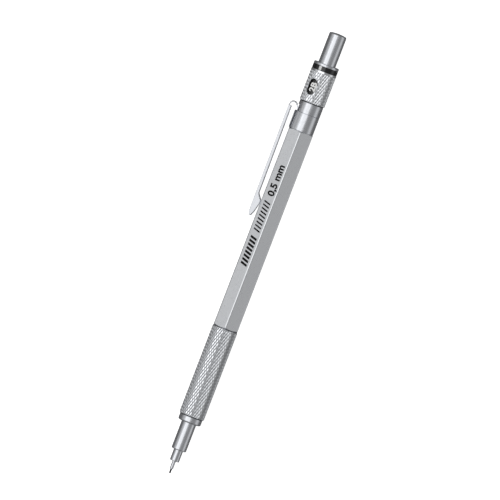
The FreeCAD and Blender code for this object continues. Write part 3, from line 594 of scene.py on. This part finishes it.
def make_grip():
    """Knurled grip, with wide holes for the nose in front and the connector behind."""
    front, rear, radius = outside_of("grip")
    nose_hole_end = front + NOSE_HOLE_DEPTH
    connector_hole_end = rear - CONNECTOR_HOLE_DEPTH
    bore = [
        (front, NOSE_HOLE_RADIUS),
        (nose_hole_end, NOSE_HOLE_RADIUS),
        (nose_hole_end, GRIP_BORE),
        (connector_hole_end, GRIP_BORE),
        (connector_hole_end, CONNECTOR_HOLE_RADIUS),
        (rear, CONNECTOR_HOLE_RADIUS),
    ]
    tube = knurled_tube("grip_knurled", front, rear, radius, bore)
    place_piece(tube, "grip", MATERIALS["knurled_metal"])


def make_grade_sleeve():
    """Knurled grade sleeve with its window."""
    front, rear, radius = outside_of("grade_sleeve")
    bore = [(front, SLEEVE_BORE), (rear, SLEEVE_BORE)]
    tube = knurled_tube("grade_sleeve_knurled", front, rear, radius, bore, plain_rim=True)
    cut_with(tube, window_cutter())
    place_piece(tube, "grade_sleeve", MATERIALS["knurled_metal"])


# ------------------------------------------------------------ spring

def coiled_wire(bm, first, last):
    """Round wire wound round the X axis, its centre line running from first to last."""
    steps = SPRING_COILS * COIL_STEPS
    rings = []
    for step in range(steps + 1):
        share = step / steps
        angle = TURN * SPRING_COILS * share
        outward = Vector((0, math.cos(angle), math.sin(angle)))
        centre = outward * SPRING_RADIUS + Vector((first + (last - first) * share, 0, 0))
        ring = []
        for side in range(WIRE_SIDES):
            around = TURN * side / WIRE_SIDES
            offset = outward * math.cos(around) + Vector((1, 0, 0)) * math.sin(around)
            ring.append(bm.verts.new(centre + offset * SPRING_WIRE_RADIUS))
        rings.append(ring)
    for ring, following in zip(rings, rings[1:]):
        for side in range(WIRE_SIDES):
            other = (side + 1) % WIRE_SIDES
            bm.faces.new((ring[side], ring[other], following[other], following[side]))
    bm.faces.new(rings[0])
    bm.faces.new(rings[-1][::-1])


def make_return_spring():
    """Wire spring that shortens with the push button."""
    low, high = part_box("return_spring")
    bm = bmesh.new()
    coiled_wire(bm, low.x / MM + SPRING_WIRE_RADIUS, high.x / MM - SPRING_WIRE_RADIUS)
    spring = finish_mesh(bm, "return_spring_wire", smooth_angle=40)
    place_piece(spring, "return_spring", MATERIALS["spring_steel"])
    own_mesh(spring)


# ------------------------------------------------------------ printed marks

def letter_mesh(text, height):
    """Flat slab of lettering in the XY plane; its tallest letter reaches up to height."""
    curve = bpy.data.curves.new("letters", "FONT")
    curve.body = text
    curve.extrude = 0.5
    curve.offset = BOLDNESS
    curve.resolution_u = 4
    source = bpy.data.objects.new("letters", curve)
    bpy.context.scene.collection.objects.link(source)
    graph = bpy.context.evaluated_depsgraph_get()
    mesh = bpy.data.meshes.new_from_object(source.evaluated_get(graph))
    bpy.data.objects.remove(source)
    bm = bmesh.new()
    bm.from_mesh(mesh)
    bmesh.ops.remove_doubles(bm, verts=bm.verts, dist=1e-6)
    left = min(v.co.x for v in bm.verts)
    tall = max(v.co.y for v in bm.verts)
    for vertex in bm.verts:
        vertex.co.x = (vertex.co.x - left) * height / tall
        vertex.co.y = vertex.co.y * height / tall
        vertex.co.z = INK_THICKNESS if vertex.co.z > 0 else -INK_THICKNESS
    return bm


def slanted_bars(bm, start, end, count, thickness):
    """Row of slanted bars from start to end, a plain ornament."""
    lean = PRINT_HEIGHT * BAR_LEAN
    pitch = (end - start - lean - thickness) / (count - 1)
    for i in range(count):
        x = start + pitch * i
        outline = [
            (x, 0),
            (x + thickness, 0),
            (x + thickness + lean, PRINT_HEIGHT),
            (x + lean, PRINT_HEIGHT),
        ]
        prism(bm, outline, -INK_THICKNESS, INK_THICKNESS)


def onto_facet(bm):
    """Lay flat marks on the printed facet, turned from straight up toward the clip."""
    tilt = math.radians(FACET_TURN)
    outward = Vector((0, math.sin(tilt), math.cos(tilt)))
    upward = Vector((0, math.cos(tilt), -math.sin(tilt)))
    for vertex in bm.verts:
        x, y, z = vertex.co
        place = outward * (HALF_FLAT + z) + upward * (y + PRINT_BASE)
        vertex.co = Vector((x, 0, 0)) + place


def make_barrel_print():
    """Rows of bars and the size of the lead, printed on one facet."""
    bm = bmesh.new()
    for row in BAR_ROWS:
        slanted_bars(bm, *row)
    onto_facet(bm)
    place_piece(finish_mesh(bm, "barrel_strokes"), "barrel", BLACK_INK, replaces=False)
    bm = letter_mesh("0,5 mm", PRINT_HEIGHT)
    bmesh.ops.translate(bm, vec=(LEAD_SIZE_START, 0, 0), verts=bm.verts)
    onto_facet(bm)
    place_piece(finish_mesh(bm, "barrel_lead_size"), "barrel", BLACK_INK, replaces=False)


def cut_into_bands(bm):
    """Cut flat marks along X into narrow bands, so that they can follow a round drum."""
    for i in range(1, GRADE_BANDS):
        bmesh.ops.bisect_plane(
            bm,
            geom=bm.verts[:] + bm.edges[:] + bm.faces[:],
            dist=1e-6,
            plane_co=(0, GRADE_HEIGHT * i / GRADE_BANDS, 0),
            plane_no=(0, 1, 0),
        )


def onto_drum(bm, turn):
    """Wrap flat marks round the drum, centred on the window's place and on a turn."""
    width = max(v.co.x for v in bm.verts)
    for vertex in bm.verts:
        x, y, z = vertex.co
        angle = turn + (y - GRADE_HEIGHT / 2) / DRUM_RADIUS
        r = DRUM_RADIUS + z
        place = WINDOW_MIDDLE + x - width / 2
        vertex.co = (place, r * math.sin(angle), r * math.cos(angle))


def make_grade_marks():
    """Grades of lead, evenly spaced round the drum."""
    for number, grade in enumerate(GRADES):
        bm = letter_mesh(grade, GRADE_HEIGHT)
        cut_into_bands(bm)
        turn = math.radians(WINDOW_ANGLE) + TURN * (number - GRADE_IN_WINDOW) / len(GRADES)
        onto_drum(bm, turn)
        name = f"grade_mark_{grade}"
        place_piece(finish_mesh(bm, name), "grade_drum", WHITE_INK, replaces=False)


# ------------------------------------------------------------ stage

# The table: half its side, in metres, and its gap under the pencil, in millimetres.
FLOOR_REACH = 4.0
FLOOR_GAP = 0.2

# The lamp of the black flange: where the flange is along the pencil, the lamp's
# distance, length and width, in millimetres, its turn from straight up toward the
# clip, in degrees, and its power in watts.
FLANGE_MIDDLE = 100.6
LAMP_DISTANCE = 20
LAMP_LENGTH = 3
LAMP_WIDTH = 8
LAMP_TURN = 40
LAMP_POWER = 0.0006

# Soft boxes that lie along the pencil: middle and half width in degrees from
# straight up toward the clip, softness of the edge in degrees, brightness.
SOFT_BOXES = {
    "key": (21, 27, 14, 0.90),
    "clip_side": (57, 26, 30, 0.37),
    "front_fill": (-20, 38, 40, 0.13),
    "side": (-78, 16, 24, 0.50),
}
ROOM_LIGHT = 0.14

# Their ends, by the X part of the direction to them: the middle of the boxes, how
# far from it they are full and gone, and the share of light left beyond the ends.
BOX_MIDDLE = 0.2
BOX_FULL = 0.35
BOX_GONE = 0.75
LEFT_OVER_LIGHT = 0.12

# The camera: turns in degrees, lens and sensor in millimetres, the width of its view
# at the pencil in metres, and the point it looks at, along and across, in millimetres.
CAMERA_ROLL = 0.4
CAMERA_PITCH = 3
PENCIL_LEAN = 68.95
CAMERA_LENS = 700
CAMERA_SENSOR = 36
FIELD_WIDTH = 0.155
LOOK_ALONG = 40.06
LOOK_ACROSS = 1.59


def make_floor():
    """Pale glowing table that only the camera sees; the metal mirrors the studio instead."""
    mesh = bpy.data.meshes.new("floor")
    corners = [
        (-FLOOR_REACH, -FLOOR_REACH, 0),
        (FLOOR_REACH, -FLOOR_REACH, 0),
        (FLOOR_REACH, FLOOR_REACH, 0),
        (-FLOOR_REACH, FLOOR_REACH, 0),
    ]
    mesh.from_pydata(corners, [], [(0, 1, 2, 3)])
    floor = bpy.data.objects.new("floor", mesh)
    floor.location.z = cad_low.z - FLOOR_GAP * MM
    bpy.context.scene.collection.objects.link(floor)
    material, tree, shader = new_material("floor_white")
    cloud = noise(tree, millimetres(tree), scale=0.02)
    tones = two_tones(tree, cloud, (0.90, 0.90, 0.90), (0.94, 0.94, 0.94))
    tree.links.new(tones, shader.inputs["Base Color"])
    shader.inputs["Roughness"].default_value = 0.8
    shader.inputs["Emission Color"].default_value = WHITE
    shader.inputs["Emission Strength"].default_value = 0.9
    mesh.materials.append(material)
    floor.visible_glossy = False
    floor.visible_diffuse = False


def make_flange_lamp(drum):
    """Small lamp close to the black flange; it lights the drum alone."""
    turn = math.radians(LAMP_TURN)
    outward = Vector((0, math.sin(turn), math.cos(turn)))
    data = bpy.data.lights.new("flange_lamp", "AREA")
    data.shape = "RECTANGLE"
    data.size = LAMP_LENGTH * MM
    data.size_y = LAMP_WIDTH * MM
    data.energy = LAMP_POWER
    lamp = bpy.data.objects.new("flange_lamp", data)
    lamp.location = (Vector((FLANGE_MIDDLE, 0, 0)) + outward * LAMP_DISTANCE) * MM
    lamp.rotation_euler = (-turn, 0, 0)
    bpy.context.scene.collection.objects.link(lamp)
    lit = bpy.data.collections.new("lit_by_flange_lamp")
    lit.objects.link(drum)
    lamp.light_linking.receiver_collection = lit


def make_world():
    """Dim room with long soft boxes for the metal to mirror; the camera sees white."""
    world = bpy.data.worlds.new("studio")
    world.use_nodes = True
    tree = world.node_tree
    background = tree.nodes["Background"]
    background.inputs["Color"].default_value = (0.98, 0.99, 1.0, 1)
    direction = tree.nodes.new("ShaderNodeTexCoord")
    parts = tree.nodes.new("ShaderNodeSeparateXYZ")
    tree.links.new(direction.outputs["Generated"], parts.inputs["Vector"])
    turn = math_node(tree, "ARCTAN2", parts.outputs["Y"], parts.outputs["Z"])
    angle = math_node(tree, "DEGREES", turn)
    boxes = 0
    for middle, half_width, softness, brightness in SOFT_BOXES.values():
        off_middle = math_node(tree, "ABSOLUTE", math_node(tree, "SUBTRACT", angle, middle))
        box = fades_out(tree, off_middle, half_width - softness / 2, half_width + softness / 2)
        light = math_node(tree, "MULTIPLY", box, brightness)
        boxes = math_node(tree, "ADD", boxes, light)
    off_middle = math_node(tree, "SUBTRACT", parts.outputs["X"], BOX_MIDDLE)
    along = fades_out(tree, math_node(tree, "ABSOLUTE", off_middle), BOX_FULL, BOX_GONE)
    along = math_node(tree, "MAXIMUM", along, LEFT_OVER_LIGHT)
    studio = math_node(tree, "ADD", math_node(tree, "MULTIPLY", boxes, along), ROOM_LIGHT)
    path = tree.nodes.new("ShaderNodeLightPath")
    strength = math_node(tree, "MAXIMUM", studio, path.outputs["Is Camera Ray"])
    tree.links.new(strength, background.inputs["Strength"])
    bpy.context.scene.world = world


def make_camera():
    """Long lens, rolled a little away from the clip, the button end slightly nearer."""
    roll = math.radians(CAMERA_ROLL)
    pitch = math.radians(CAMERA_PITCH)
    lean = math.radians(PENCIL_LEAN)
    back_y = -math.sin(roll) * math.cos(pitch)
    back_z = math.cos(roll) * math.cos(pitch)
    back = Vector((math.sin(pitch), back_y, back_z))
    along = (Vector((1, 0, 0)) - back * back.x).normalized()
    across = back.cross(along)
    right = along * math.cos(lean) - across * math.sin(lean)
    up = along * math.sin(lean) + across * math.cos(lean)
    data = bpy.data.cameras.new("camera")
    data.lens = CAMERA_LENS
    data.sensor_width = CAMERA_SENSOR
    data.clip_start = 0.05
    data.clip_end = 20
    camera = bpy.data.objects.new("camera", data)
    turn = Matrix((right, up, back)).transposed().to_4x4()
    target = Vector((LOOK_ALONG * MM, 0, 0)) + across * LOOK_ACROSS * MM
    distance = FIELD_WIDTH * math.cos(pitch) * CAMERA_LENS / CAMERA_SENSOR
    camera.matrix_world = Matrix.Translation(target + back * distance) @ turn
    bpy.context.scene.collection.objects.link(camera)
    bpy.context.scene.camera = camera


# ------------------------------------------------------------ assembly

for node, thing in frame["nodes"].items():
    thing.data.materials.clear()
    thing.data.materials.append(MATERIALS[SLOT_OF[node]])

make_grip()
make_grade_sleeve()
make_return_spring()
make_barrel_print()
make_grade_marks()
make_floor()
make_flange_lamp(frame["nodes"]["grade_drum"])
make_world()
make_camera()
bpy.context.scene.view_settings.view_transform = "Standard"
